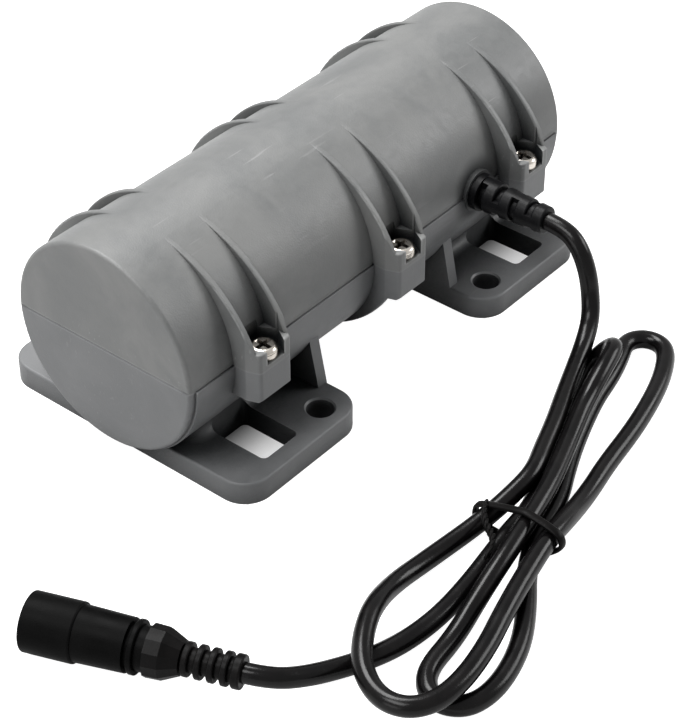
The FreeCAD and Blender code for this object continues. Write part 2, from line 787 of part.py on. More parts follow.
def rotor_magnets():
    inner = rotor_core_radius + seat_gap
    half_angle = 180 / magnet_count - magnet_gap_angle / 2
    return Part.makeCompound([
        radial_sector(inner + magnet_thickness, inner, rotor_half_length, half_angle,
                      360 / magnet_count * k)
        for k in range(magnet_count)
    ])


def bearing_middle_x():
    return bearing_outer_x - bearing_width / 2


def groove(ring):
    torus = Part.makeTorus(ball_pitch_radius, ball_radius + ball_gap,
                           V(bearing_middle_x(), 0, axis_height), X_AXIS)
    return ring.cut(torus)


def bearing_outer_ring():
    x1 = bearing_outer_x
    return groove(sleeve(bearing_outer_radius, outer_ring_bore, x1 - bearing_width, x1))


def bearing_inner_ring():
    x1 = bearing_outer_x
    return groove(sleeve(inner_ring_radius, shaft_radius + seat_gap, x1 - bearing_width, x1))


def ball_places():
    for k in range(ball_count):
        a = 2 * math.pi * k / ball_count
        yield V(bearing_middle_x(), ball_pitch_radius * math.sin(a),
                axis_height + ball_pitch_radius * math.cos(a))


def bearing_cage():
    x = bearing_middle_x()
    ring = sleeve(cage_outer_radius, cage_inner_radius, x - cage_width / 2, x + cage_width / 2)
    pockets = []
    for at in ball_places():
        outward = (at - V(x, 0, axis_height)).normalize()
        pockets.append(Part.makeCylinder(ball_radius + ball_gap, ball_pitch_radius,
                                         V(x, 0, axis_height) + outward * 2, outward))
    for pocket in pockets:
        ring = ring.cut(pocket)
    return ring


def bearing_balls():
    return Part.makeCompound([Part.makeSphere(ball_radius, at) for at in ball_places()])


def shaft_spacers():
    """Sleeves that hold the rotor core between the two inner rings."""
    inner_x = rotor_half_length
    outer_x = bearing_outer_x - bearing_width
    piece = sleeve(spacer_radius, shaft_radius + seat_gap, inner_x, outer_x)
    return Part.makeCompound([piece, mirror_x(piece)])


def eccentric_weight(sx):
    """Sector weight below the shaft with a hub that the set screw clamps."""
    x0 = weight_start_x
    x1 = x0 + weight_width
    hub = rod(weight_hub_radius, x0, x1)
    sector = radial_sector(weight_radius, shaft_radius, weight_width / 2, weight_half_angle, 180)
    sector.translate(V((x0 + x1) / 2, 0, 0))
    piece = hub.fuse(sector).removeSplitter()
    bore = rod(shaft_radius + seat_gap, x0 - 1, x1 + 1)
    tap = Part.makeCylinder(weight_screw_radius + seat_gap, weight_radius,
                            V((x0 + x1) / 2, 0, axis_height))
    piece = piece.cut(bore.fuse(tap))
    return piece if sx > 0 else mirror_x(piece)


def weight_set_screws():
    x = weight_start_x + weight_width / 2
    screw = Part.makeCylinder(weight_screw_radius, weight_screw_length,
                              V(x, 0, axis_height + shaft_radius + seat_gap))
    socket_z = axis_height + shaft_radius + seat_gap + weight_screw_length * 0.5
    corner = weight_screw_radius * 0.55
    hexagon = [(x + corner * math.cos(math.radians(60 * k)), corner * math.sin(math.radians(60 * k)),
                socket_z) for k in range(6)]
    screw = screw.cut(prism(hexagon, V(0, 0, weight_screw_length)))
    return Part.makeCompound([screw, mirror_x(screw)])


# ---- barrel connector ---------------------------------------------------
def place_connector(shape):
    """From a connector along +Z, cord end at the origin, to where it lies beside the hank."""
    heading = V(connector_direction).normalize()
    turn = FreeCAD.Rotation(Z_AXIS, heading)
    shape.Placement = FreeCAD.Placement(V(*cord_route[-1]), turn)
    return shape


def boot_tail():
    return (boot_ring_count - 1) * boot_ring_pitch + boot_ring_width + boot_ring_round


def boot_length():
    return boot_tail() + boot_taper_length + boot_collar_length


def rounded_cylinder(radius, z0, z1, edge):
    """Cylinder along Z with both rims rounded."""
    piece = Part.makeCylinder(radius, z1 - z0, V(0, 0, z0))
    return piece.makeFillet(edge, [e for e in piece.Edges if isinstance(e.Curve, Part.Circle)])


def connector_shell():
    base = boot_length()
    top = base + connector_length
    head_base = top - connector_head_length
    body_base = base + 2 * connector_groove_pitch
    groove_radius = connector_body_radius - connector_groove_depth
    parts = [
        rounded_cylinder(connector_head_radius, head_base, top, connector_edge),
        Part.makeCone(connector_body_radius, connector_head_radius - connector_head_step,
                      head_base + 1 - body_base, V(0, 0, body_base)),
        Part.makeCylinder(groove_radius, body_base - base + 1, V(0, 0, base)),
    ]
    land = connector_groove_pitch - connector_groove_width
    start = base + connector_groove_pitch
    parts.append(rounded_cylinder(connector_body_radius, start, start + land, connector_edge / 2))
    shell = fuse_all(parts)
    cuts = [
        Part.makeCylinder(socket_radius, socket_lip + 1, V(0, 0, top - socket_lip)),
        Part.makeCylinder(socket_radius + socket_wall, socket_depth - socket_lip,
                          V(0, 0, top - socket_depth)),
        Part.makeCylinder(pin_radius, pin_length, V(0, 0, top - socket_depth - 2)),
    ]
    for cut in cuts:
        shell = shell.cut(cut)
    return place_connector(shell)


def connector_sleeve_contact():
    top = boot_length() + connector_length - socket_lip
    length = socket_depth - socket_lip
    outer = Part.makeCylinder(socket_radius + socket_wall, length, V(0, 0, top - length))
    return place_connector(outer.cut(Part.makeCylinder(socket_radius, length, V(0, 0, top - length))))


def connector_pin():
    top = boot_length() + connector_length - socket_depth - 2 + pin_length
    pin = Part.makeCylinder(pin_radius, pin_length, V(0, 0, top - pin_length))
    tip = [e for e in pin.Edges if e.BoundBox.ZMin > top - 1e-6]
    return place_connector(pin.makeFillet(pin_radius * 0.6, tip))


def connector_boot():
    """Facetted collar that narrows to a tail of rings round the cord."""
    tail = boot_tail()
    parts = [Part.makeCylinder(boot_core_radius, tail + 0.5)]
    for k in range(boot_ring_count):
        width = boot_ring_width if k else boot_end_ring_width
        z = k * boot_ring_pitch
        parts.append(rounded_cylinder(boot_ring_radius, z, z + width, boot_ring_round))
    collar_base = tail + boot_taper_length
    parts.append(facetted_taper(boot_neck_radius, boot_collar_radius, tail, collar_base))
    parts.append(facetted_taper(boot_collar_radius, boot_collar_radius + 0.1,
                                collar_base, boot_length()))
    return place_connector(fuse_all(parts).removeSplitter())


def facetted_taper(radius_0, radius_1, z0, z1):
    wires = []
    for z, radius in ((z0, radius_0), (z1, radius_1)):
        corners = [V(radius * math.cos(2 * math.pi * k / boot_facets),
                     radius * math.sin(2 * math.pi * k / boot_facets), z)
                   for k in range(boot_facets)]
        wires.append(Part.makePolygon(corners + corners[:1]))
    return Part.makeLoft(wires, True, True)


# ---- build --------------------------------------------------------------
def build():
    cage = bearing_cage()
    balls = bearing_balls()
    outer_ring = bearing_outer_ring()
    inner_ring = bearing_inner_ring()
    return {
        "lower_shell": lower_shell(),
        "upper_shell": upper_shell(),
        "cover_screws": cover_screws(),
        "seam_seal": seam_seal(),
        "cable_gland": cable_gland(),
        "supply_cord": supply_cord(),
        "cord_tie": cord_tie(),
        "power_leads": power_leads(),
        "motor_can": motor_can(),
        "front_end_bell": bell(-1),
        "rear_end_bell": rear_bell(),
        "stator_core": stator_core(),
        "stator_coils": stator_coils(),
        "driver_board": driver_board(),
        "board_components": board_components(),
        "rotor_shaft": rotor_shaft(),
        "rotor_core": rotor_core(),
        "rotor_magnets": rotor_magnets(),
        "shaft_spacers": shaft_spacers(),
        "front_bearing_outer_ring": turn_about_z(outer_ring),
        "rear_bearing_outer_ring": outer_ring,
        "front_bearing_inner_ring": turn_about_z(inner_ring),
        "rear_bearing_inner_ring": inner_ring,
        "front_bearing_cage": turn_about_z(cage),
        "rear_bearing_cage": cage,
        "front_bearing_balls": turn_about_z(balls),
        "rear_bearing_balls": balls,
        "front_weight": eccentric_weight(-1),
        "rear_weight": eccentric_weight(1),
        "weight_set_screws": weight_set_screws(),
        "connector_shell": connector_shell(),
        "connector_sleeve_contact": connector_sleeve_contact(),
        "connector_pin": connector_pin(),
        "connector_boot": connector_boot(),
    }


os.makedirs("parts", exist_ok=True)
for node, shape in build().items():
    assert shape.isValid(), node + " is not a valid shape"
    assert all(s.Volume > 0 for s in shape.Solids) and shape.Solids, node + " holds no solid"
    shape.exportStep("parts/" + node + ".step")
    print("%-26s solids %d volume %.1f mm3" % (node, len(shape.Solids), shape.Volume))
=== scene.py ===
"""Looks of a small two-shell vibration motor: grey moulded casing, plated screws,
rubber strain relief, black lead in a tied hank and its moulded barrel connector."""

import math

import bmesh
import bpy
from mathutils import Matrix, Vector


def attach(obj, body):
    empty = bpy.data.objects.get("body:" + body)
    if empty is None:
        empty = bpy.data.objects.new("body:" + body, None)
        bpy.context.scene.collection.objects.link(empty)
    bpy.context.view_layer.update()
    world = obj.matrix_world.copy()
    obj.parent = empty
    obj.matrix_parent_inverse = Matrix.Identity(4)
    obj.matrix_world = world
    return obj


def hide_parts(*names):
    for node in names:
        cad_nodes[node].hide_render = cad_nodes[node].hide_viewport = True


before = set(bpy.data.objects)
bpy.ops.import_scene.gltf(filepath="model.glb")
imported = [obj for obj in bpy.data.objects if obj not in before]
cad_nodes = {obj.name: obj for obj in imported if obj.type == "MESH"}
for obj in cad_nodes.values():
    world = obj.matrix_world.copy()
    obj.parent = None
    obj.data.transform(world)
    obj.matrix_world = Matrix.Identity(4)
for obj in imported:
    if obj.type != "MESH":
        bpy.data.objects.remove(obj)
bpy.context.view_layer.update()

# ---- sizes shared by several pieces, in metres --------------------------
lead_diameter = 0.0038
gland_mouth = (0.0285, -0.0398, 0.025)
gland_length = 0.0171
gland_root = (gland_mouth[0], gland_mouth[1] + gland_length, gland_mouth[2])

# The lead's course from the gland, through the hank, to the connector.
lead_course_mm = [
    (28.5, -39.8, 25.0), (28.4, -44.0, 25.0), (27.8, -47.9, 23.2), (27.3, -50.8, 18.7),
    (26.9, -52.3, 13.4), (24.8, -54.1, 9.4), (20.0, -56.0, 7.0), (13.4, -58.4, 6.1),
    (5.0, -61.6, 5.8), (-3.0, -64.9, 5.8), (-10.4, -67.5, 5.8), (-17.0, -70.1, 5.9),
    (-23.8, -69.9, 4.7), (-31.4, -68.9, 3.1), (-44.8, -66.7, 1.9), (-54.4, -66.4, 3.0),
    (-63.6, -68.9, 6.0), (-70.4, -72.2, 6.1), (-75.4, -76.0, 5.7), (-78.4, -80.6, 5.3),
    (-79.3, -85.2, 5.6), (-77.6, -89.2, 5.9), (-73.0, -91.3, 5.9), (-66.7, -91.4, 5.9),
    (-58.8, -90.0, 5.9), (-50.7, -87.6, 6.0), (-42.0, -85.3, 6.1), (-31.0, -82.8, 6.1),
    (-24.0, -81.7, 4.9), (-17.0, -80.1, 2.9), (-10.0, -78.6, 1.9), (-2.6, -77.0, 1.9),
    (9.2, -75.3, 1.9), (19.4, -73.0, 1.9), (27.4, -70.4, 1.9), (34.2, -66.9, 1.9),
    (35.6, -63.5, 1.9), (34.2, -60.2, 1.9), (30.8, -58.9, 1.9), (25.8, -61.0, 1.9),
    (19.8, -62.8, 1.9), (12.8, -64.2, 1.9), (5.4, -66.5, 1.9), (-2.1, -69.2, 1.9),
    (-9.0, -72.1, 1.9), (-15.4, -75.2, 1.9), (-22.5, -77.7, 2.5), (-30.0, -79.6, 3.35),
    (-36.6, -82.6, 2.4), (-43.2, -87.4, 1.9), (-50.5, -91.7, 1.9), (-57.7, -94.1, 1.9),
    (-64.2, -94.8, 1.9), (-68.9, -93.5, 1.9), (-71.2, -89.9, 1.9), (-70.4, -86.0, 1.9),
    (-66.3, -83.1, 1.9), (-57.4, -82.2, 1.9), (-49.3, -80.9, 4.0), (-41.0, -79.7, 5.9),
    (-33.0, -78.3, 6.5), (-26.0, -76.7, 6.5), (-18.0, -74.5, 6.2), (-9.5, -71.5, 5.8),
    (-1.5, -68.6, 5.8), (6.2, -65.9, 6.2), (13.0, -64.7, 8.6), (20.4, -63.0, 9.3),
    (22.5, -60.6, 7.1), (21.8, -58.5, 4.1), (18.7, -57.8, 1.9), (11.5, -60.3, 1.9),
    (4.0, -62.6, 1.9), (-3.5, -65.3, 1.9), (-10.5, -68.2, 1.9), (-17.0, -71.4, 1.9),
    (-23.5, -73.7, 2.7), (-31.0, -74.7, 3.3), (-38.0, -75.4, 2.5), (-45.0, -76.2, 1.9),
    (-53.9, -77.0, 1.9), (-61.7, -76.5, 1.9), (-68.1, -75.0, 1.9), (-74.6, -72.0, 1.9),
    (-82.0, -69.0, 3.4), (-87.6, -66.2, 5.6), (-89.3, -61.9, 5.6),
]


# ---- camera -------------------------------------------------------------
# Where it looks and how far it stands are in metres, the lens and film in millimetres.
camera_azimuth = math.radians(-50.6)
camera_elevation = math.radians(38.4)
camera_aim = Vector((-0.02897, -0.03319, 0.02066))
camera_distance = 0.4047
camera_lens = 107.4
camera_film = 36


def set_camera():
    level = math.cos(camera_elevation)
    back = Vector((math.sin(camera_azimuth) * level, -math.cos(camera_azimuth) * level,
                   math.sin(camera_elevation)))
    data = bpy.data.cameras.new("studio_camera")
    data.lens = camera_lens
    data.sensor_width = camera_film
    data.clip_start = 0.01
    data.clip_end = 20
    camera = bpy.data.objects.new("studio_camera", data)
    camera.location = camera_aim + back * camera_distance
    camera.rotation_euler = back.to_track_quat("Z", "Y").to_euler()
    bpy.context.scene.collection.objects.link(camera)
    bpy.context.scene.camera = camera


# ---- lead and its tie ---------------------------------------------------
# The tie's loop stands across the hank at one x; its corners are in y and z.
tie_x_mm = -30
tie_loop_mm = (
    (-67.9, 0.56), (-80.0, 0.56), (-81.2, 0.85), (-85.2, 4.6), (-85.7, 6.4), (-84.5, 8.3),
    (-78.0, 9.1), (-76.8, 9.05), (-67.3, 5.65), (-66.35, 4.4), (-66.35, 1.9),
)
tie_tail_mm = (
    (-29.6, -68.2, 6.1), (-31.4, -69.3, 6.7), (-33.4, -70.6, 6.6), (-35.2, -72.6, 6.5),
    (-36.6, -75.0, 6.6), (-38.8, -76.4, 6.1), (-41.2, -77.0, 5.9),
)
corner_rounds = 3
strip_half = (0.00085, 0.00042)         # half width and half thickness of the loop
strand_half = (0.00042, 0.00032)        # the same of each twisted end
strand_points = 8
strand_lean = (0.2, 0.1, 1)             # runs along a strand's wider side
twist_turns = 5
twist_reach = (0.0004375, 0.0005625)    # from the twist's middle to a strand, in x and z


def millimetres(*place):
    return Vector(place) / 1000


def lay_lead():
    curve = bpy.data.curves.new("lead", "CURVE")
    curve.dimensions = "3D"
    curve.resolution_u = 8
    curve.bevel_depth = 1.0             # each point's radius gives the real one
    curve.bevel_resolution = 8
    curve.use_fill_caps = True
    spline = curve.splines.new("NURBS")
    spline.points.add(len(lead_course_mm) - 1)
    for point, place in zip(spline.points, lead_course_mm):
        point.co = (*(c / 1000 for c in place), 1)
        point.radius = lead_diameter / 2
    spline.order_u = 3
    spline.use_endpoint_u = True
    lead = bpy.data.objects.new("lead", curve)
    bpy.context.scene.collection.objects.link(lead)
    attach(lead, "housing")
    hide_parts("supply_cord")
    return lead


def cut_corners(points, closed=False):
    """A smooth course from a few corners: each round cuts every corner at its quarters."""
    for _ in range(corner_rounds):
        pairs = list(zip(points, points[1:] + points[:1] if closed else points[1:]))
        smooth = [p.lerp(q, share) for p, q in pairs for share in (0.25, 0.75)]
        points = smooth if closed else [points[0]] + smooth[1:-1] + [points[-1]]
    return points


def round_profile(half_width, half_thickness, count=12):
    """Offsets of a strip or wire section: rounder than a rectangle, squarer than an oval."""
    squareness = 0.7
    section = []
    for k in range(count):
        turn = 2 * math.pi * k / count
        c, s = math.cos(turn), math.sin(turn)
        section.append((half_width * math.copysign(abs(c) ** squareness, c),
                        half_thickness * math.copysign(abs(s) ** squareness, s)))
    return section


def sweep(bm, course, profile, across, closed=False):
    """Carry a profile along a course; its first offset runs along the vector across."""
    rings = []
    for i, place in enumerate(course):
        ahead = course[(i + 1) % len(course)] if closed or i + 1 < len(course) else place
        behind = course[i - 1] if closed or i else place
        heading = (ahead - behind).normalized()
        normal = heading.cross(across).normalized()
        side = normal.cross(heading).normalized()
        rings.append([bm.verts.new(place + side * u + normal * v) for u, v in profile])
    links = list(zip(rings, rings[1:] + rings[:1] if closed else rings[1:]))
    for first, second in links:
        for k in range(len(profile)):
            n = (k + 1) % len(profile)
            bm.faces.new((first[k], first[n], second[n], second[k]))
    if not closed:
        bm.faces.new(list(reversed(rings[0])))
        bm.faces.new(rings[-1])


def smooth_object(name, bm):
    """Turn a built mesh into a smooth-shaded object at the origin."""
    bmesh.ops.recalc_face_normals(bm, faces=bm.faces)
    mesh = bpy.data.meshes.new(name)
    bm.to_mesh(mesh)
    bm.free()
    mesh.shade_smooth()
    made = bpy.data.objects.new(name, mesh)
    bpy.context.scene.collection.objects.link(made)
    return made


def wind_tie():
    """Plastic-coated tie: a flat loop round the hank, its ends twisted and laid back."""
    bm = bmesh.new()
    loop = [millimetres(tie_x_mm, y, z) for y, z in tie_loop_mm]
    sweep(bm, cut_corners(loop, closed=True), round_profile(*strip_half),
          Vector((1, 0, 0)), closed=True)
    tail = cut_corners([millimetres(*place) for place in tie_tail_mm])
    for start in (0, math.pi):
        strand = []
        for i, place in enumerate(tail):
            turn = start + 2 * math.pi * twist_turns * i / (len(tail) - 1)
            strand.append(place + Vector((twist_reach[0] * math.cos(turn), 0,
                                          twist_reach[1] * math.sin(turn))))
        sweep(bm, strand, round_profile(*strand_half, strand_points), Vector(strand_lean))
    tie = smooth_object("hank_tie", bm)
    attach(tie, "housing")
    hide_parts("cord_tie")
    return tie


# ---- shared surface effects, each built once as a node group ------------
# An effect's scale counts its features per metre: at 60 they are about 17 mm apart.

def new_effect(name, inputs, outputs):
    """A shader node group with a position socket, named number sockets and outputs."""
    group = bpy.data.node_groups.new(name, "ShaderNodeTree")
    group.interface.new_socket("Position", in_out="INPUT", socket_type="NodeSocketVector")
    for label, value in inputs.items():
        socket = group.interface.new_socket(label, in_out="INPUT",
                                            socket_type="NodeSocketFloat")
        socket.default_value = value
    for label in outputs:
        group.interface.new_socket(label, in_out="OUTPUT", socket_type="NodeSocketFloat")
    return group, group.nodes.new("NodeGroupInput"), group.nodes.new("NodeGroupOutput")


def math_node(tree, operation, first, second=None):
    node = tree.nodes.new("ShaderNodeMath")
    node.operation = operation
    for socket, value in zip(node.inputs, (first, second)):
        if value is None:
            continue
        if isinstance(value, (int, float)):
            socket.default_value = value
        else:
            tree.links.new(value, socket)
    return node.outputs[0]


def inverse(tree, mask):
    return math_node(tree, "SUBTRACT", 1.0, mask)


def noise_node(tree, position, scale, detail, roughness=0.55, distortion=0.0):
    node = tree.nodes.new("ShaderNodeTexNoise")
    node.inputs["Detail"].default_value = detail
    node.inputs["Roughness"].default_value = roughness
    node.inputs["Distortion"].default_value = distortion
    tree.links.new(position, node.inputs["Vector"])
    if isinstance(scale, (int, float)):
        node.inputs["Scale"].default_value = scale
    else:
        tree.links.new(scale, node.inputs["Scale"])
    return node.outputs["Fac"]


def smooth_step(tree, value, low, high):
    """0 up to the low value, 1 from the high one, and a soft rise between them."""
    node = tree.nodes.new("ShaderNodeMapRange")
    node.interpolation_type = "SMOOTHSTEP"
    node.inputs["From Min"].default_value = low
    node.inputs["From Max"].default_value = high
    tree.links.new(value, node.inputs["Value"])
    return node.outputs["Result"]


def make_moulded_grain():
    """Spark-eroded mould texture: small soft bumps over a finer grit."""
    group, given, result = new_effect("moulded_grain", {"Scale": 2600.0}, ["Height"])
    position, scale = given.outputs["Position"], given.outputs["Scale"]
    bump_share, grit_share = 0.6, 0.5
    cells = group.nodes.new("ShaderNodeTexVoronoi")
    cells.feature = "SMOOTH_F1"
    cells.inputs["Smoothness"].default_value = 0.6
    group.links.new(position, cells.inputs["Vector"])
    group.links.new(scale, cells.inputs["Scale"])
    grit = noise_node(group, position, scale, detail=2.0, roughness=0.6)
    soft = math_node(group, "MULTIPLY", cells.outputs["Distance"], bump_share)
    fine = math_node(group, "MULTIPLY", grit, grit_share)
    group.links.new(math_node(group, "ADD", soft, fine), result.inputs["Height"])
    return group


def make_flow_tone():
    """Slow cloudy change of tone, as where plastic cooled at different rates."""
    group, given, result = new_effect("flow_tone", {"Scale": 60.0}, ["Tone"])
    broad = noise_node(group, given.outputs["Position"], given.outputs["Scale"],
                       detail=4.0, roughness=0.6, distortion=0.6)
    group.links.new(smooth_step(group, broad, low=0.3, high=0.72), result.inputs["Tone"])
    return group


def make_rub_marks():
    """Thin light rub marks in two directions, broken up so that few of them show."""
    group, given, result = new_effect("rub_marks", {"Scale": 90.0, "Amount": 0.5}, ["Marks"])
    position = given.outputs["Position"]
    lean = (0.4, 0.3, 1.0)              # share of each turn about x, y and z
    flatness = 0.6                      # squeeze along z, as a share of that along y
    masks = []
    for turn, squeeze in ((0.5, 22.0), (2.1, 16.0)):
        placed = group.nodes.new("ShaderNodeMapping")
        placed.inputs["Rotation"].default_value = tuple(turn * part for part in lean)
        placed.inputs["Scale"].default_value = (1.0, squeeze, squeeze * flatness)
        group.links.new(position, placed.inputs["Vector"])
        lines = noise_node(group, placed.outputs["Vector"], given.outputs["Scale"],
                           detail=1.0, roughness=0.4)
        masks.append(smooth_step(group, lines, low=0.70, high=0.76))
    both = math_node(group, "MAXIMUM", *masks)
    patches = noise_node(group, position, scale=45.0, detail=2.0)
    shown = math_node(group, "MULTIPLY", both, smooth_step(group, patches, low=0.48, high=0.66))
    scaled = math_node(group, "MULTIPLY", shown, given.outputs["Amount"])
    group.links.new(scaled, result.inputs["Marks"])
    return group


def make_fine_dust():
    """Specks of pale dust that gather thinly on rubber and plastic."""
    group, given, result = new_effect("fine_dust", {"Scale": 1400.0, "Amount": 0.3}, ["Dust"])
    position = given.outputs["Position"]
    specks = noise_node(group, position, given.outputs["Scale"], detail=2.0, roughness=0.7)
    drift = noise_node(group, position, scale=70.0, detail=2.0)
    spots = smooth_step(group, specks, low=0.66, high=0.76)
    shown = math_node(group, "MULTIPLY", spots, smooth_step(group, drift, low=0.4, high=0.7))
    scaled = math_node(group, "MULTIPLY", shown, given.outputs["Amount"])
    group.links.new(scaled, result.inputs["Dust"])
    return group


def make_drawn_lines():
    """Fine parallel lines that a drawing die or a lathe leaves on metal."""
    group, given, result = new_effect("drawn_lines", {"Scale": 400.0}, ["Lines"])
    placed = group.nodes.new("ShaderNodeMapping")
    placed.inputs["Scale"].default_value = (0.05, 1.0, 1.0)
    group.links.new(given.outputs["Position"], placed.inputs["Vector"])
    lines = noise_node(group, placed.outputs["Vector"], given.outputs["Scale"],
                       detail=4.0, roughness=0.7)
    group.links.new(lines, result.inputs["Lines"])
    return group


effects = {
    "grain": make_moulded_grain(),
    "tone": make_flow_tone(),
    "marks": make_rub_marks(),
    "dust": make_fine_dust(),
    "lines": make_drawn_lines(),
}

mix_first, mix_second, mix_result = 6, 7, 2     # colour sockets of a Mix node


class Finish:
    """A material with its Principled shader and object coordinates, ready for effects."""

    def __init__(self, name):
        self.material = bpy.data.materials.new(name)
        self.material.use_nodes = True
        self.tree = self.material.node_tree
        self.shader = self.tree.nodes["Principled BSDF"]
        self.position = self.tree.nodes.new("ShaderNodeTexCoord").outputs["Object"]

    def effect(self, key, output, **values):
        node = self.tree.nodes.new("ShaderNodeGroup")
        node.node_tree = effects[key]
        self.tree.links.new(self.position, node.inputs["Position"])
        for label, value in values.items():
            node.inputs[label].default_value = value
        return node.outputs[output]

    def blend(self, mask, first, second):
        """Colour between two colours or colour sockets, by a mask."""
        node = self.tree.nodes.new("ShaderNodeMix")
        node.data_type = "RGBA"
        self.tree.links.new(mask, node.inputs["Factor"])
        sockets = (node.inputs[mix_first], node.inputs[mix_second])
        for socket, value in zip(sockets, (first, second)):
            if isinstance(value, tuple):
                socket.default_value = (*value, 1.0)
            else:
                self.tree.links.new(value, socket)
        return node.outputs[mix_result]

    def closeness(self, reach, inside, low, high):
        """Mask of 1 where little is open within reach, looking out of the piece or into it."""
        node = self.tree.nodes.new("ShaderNodeAmbientOcclusion")
        node.samples = 8
        node.inside = inside
        node.inputs["Distance"].default_value = reach
        return inverse(self.tree, smooth_step(self.tree, node.outputs["AO"], low, high))

    def hollows(self, reach):
        """Mask of 1 in pockets and corners, where shade is painted in."""
        return self.closeness(reach, inside=False, low=0.20, high=0.74)

    def edges(self, reach):
        """Mask of 1 along outer edges, where a painted highlight goes."""
        return self.closeness(reach, inside=True, low=0.30, high=0.62)

    def around(self, place, inner, outer):
        """Mask of 1 close to a place, gone at the outer distance."""
        node = self.tree.nodes.new("ShaderNodeVectorMath")
        node.operation = "DISTANCE"
        self.tree.links.new(self.position, node.inputs[0])
        node.inputs[1].default_value = place
        return inverse(self.tree, smooth_step(self.tree, node.outputs["Value"], inner, outer))

    def share(self, mask, strength):
        """A mask made weaker."""
        return math_node(self.tree, "MULTIPLY", mask, strength)

    def dull(self, mask, clear, dulled):
        """Take the shine off where the mask is 1."""
        self.tree.links.new(self.spread(mask, clear, dulled),
                            self.shader.inputs["Specular IOR Level"])

    def spread(self, value, low, high):
        """A 0 to 1 value moved to the range low to high."""
        node = self.tree.nodes.new("ShaderNodeMapRange")
        node.inputs["To Min"].default_value = low
        node.inputs["To Max"].default_value = high
        self.tree.links.new(value, node.inputs["Value"])
        return node.outputs["Result"]

    def colour(self, socket):
        self.tree.links.new(socket, self.shader.inputs["Base Color"])

    def roughness(self, socket):
        self.tree.links.new(socket, self.shader.inputs["Roughness"])

    def relief(self, socket, distance, strength):
        bump = self.tree.nodes.new("ShaderNodeBump")
        bump.inputs["Distance"].default_value = distance
        bump.inputs["Strength"].default_value = strength
        self.tree.links.new(socket, bump.inputs["Height"])
        self.tree.links.new(bump.outputs["Normal"], self.shader.inputs["Normal"])


def tint(colour, factor):
    return tuple(c * factor for c in colour)


def casing_plastic(name, dark, light, rub, rubbed):
    """Grey moulding: cloudy tone, faint rub marks, painted highlights on the outer edges, and
    painted dark matt shade in the hollows and round the gland.
    """
    # Near-black colour of the painted shade.
    painted_shade = (0.010, 0.011, 0.012)
    finish = Finish(name)
    tone = finish.effect("tone", "Tone", Scale=55.0)
    small_tone = finish.effect("tone", "Tone", Scale=420.0)
    marks = finish.effect("marks", "Marks", Scale=70.0, Amount=rubbed)
    mottle = finish.spread(small_tone, low=0.0, high=0.18)
    mottled = finish.blend(mottle, finish.blend(tone, dark, light), tint(light, factor=1.25))
    marked = finish.blend(marks, mottled, rub)
    # Painted highlight: outer edges made lighter, as where their rounds catch the light.
    painted_edge_highlight = finish.share(finish.edges(reach=0.0008), strength=0.85)
    surface_colour = finish.blend(painted_edge_highlight, marked, tint(light, factor=1.7))
    # Painted shade round the gland's mouth, where the spot face lies in shadow.
    near_gland = finish.around(gland_root, inner=0.0046, outer=0.0085)
    painted_gland_shade = finish.share(near_gland, strength=0.8)
    # Painted shade: the hollows and the gland's surround go near black and lose their shine.
    painted_shade_mask = math_node(finish.tree, "MAXIMUM", finish.hollows(reach=0.018), painted_gland_shade)
    finish.colour(finish.blend(painted_shade_mask, surface_colour, painted_shade))
    finish.dull(painted_shade_mask, clear=0.5, dulled=0.08)
    finish.roughness(finish.spread(small_tone, low=0.44, high=0.54))
    grain = finish.effect("grain", "Height", Scale=3000.0)
    finish.relief(grain, distance=0.00006, strength=0.5)
    return finish.material


def black_moulding(name, base, sheen, rough, grain_scale, grain_depth, shine):
    """Black rubber or plastic with a little dust, its shine lost in the hollows."""
    dust_colour = (0.16, 0.15, 0.14)
    finish = Finish(name)
    finish.dull(finish.hollows(reach=0.006), clear=shine, dulled=shine * 0.2)
    tone = finish.effect("tone", "Tone", Scale=180.0)
    dust = finish.effect("dust", "Dust", Scale=1500.0, Amount=0.05)
    finish.colour(finish.blend(dust, finish.blend(tone, base, sheen), dust_colour))
    finish.roughness(finish.spread(tone, *rough))
    grain = finish.effect("grain", "Height", Scale=grain_scale)
    finish.relief(grain, distance=grain_depth, strength=0.4)
    return finish.material


def plated_metal(name, colour, stained, rough, lines=300.0, shade_reach=0.0016):
    """Metal with drawn lines and cloudy stains, with painted shade where it is closed in within
    the given reach.
    """
    finish = Finish(name)
    drawn = finish.effect("lines", "Lines", Scale=lines)
    tone = finish.effect("tone", "Tone", Scale=220.0)
    surface_colour = finish.blend(tone, colour, stained)
    # Painted shade: near-black colour in recesses, such as round the screw heads.
    painted_recess_shade = tint(stained, factor=0.15)
    finish.colour(finish.blend(finish.hollows(reach=shade_reach), surface_colour, painted_recess_shade))
    finish.roughness(finish.spread(drawn, *rough))
    finish.relief(drawn, distance=0.00002, strength=0.3)
    finish.shader.inputs["Metallic"].default_value = 1.0
    return finish.material


def plain_board(name, colour, weave):
    finish = Finish(name)
    tone = finish.effect("tone", "Tone", Scale=900.0)
    finish.colour(finish.blend(tone, colour, weave))
    finish.roughness(finish.spread(tone, low=0.3, high=0.45))
    return finish.material


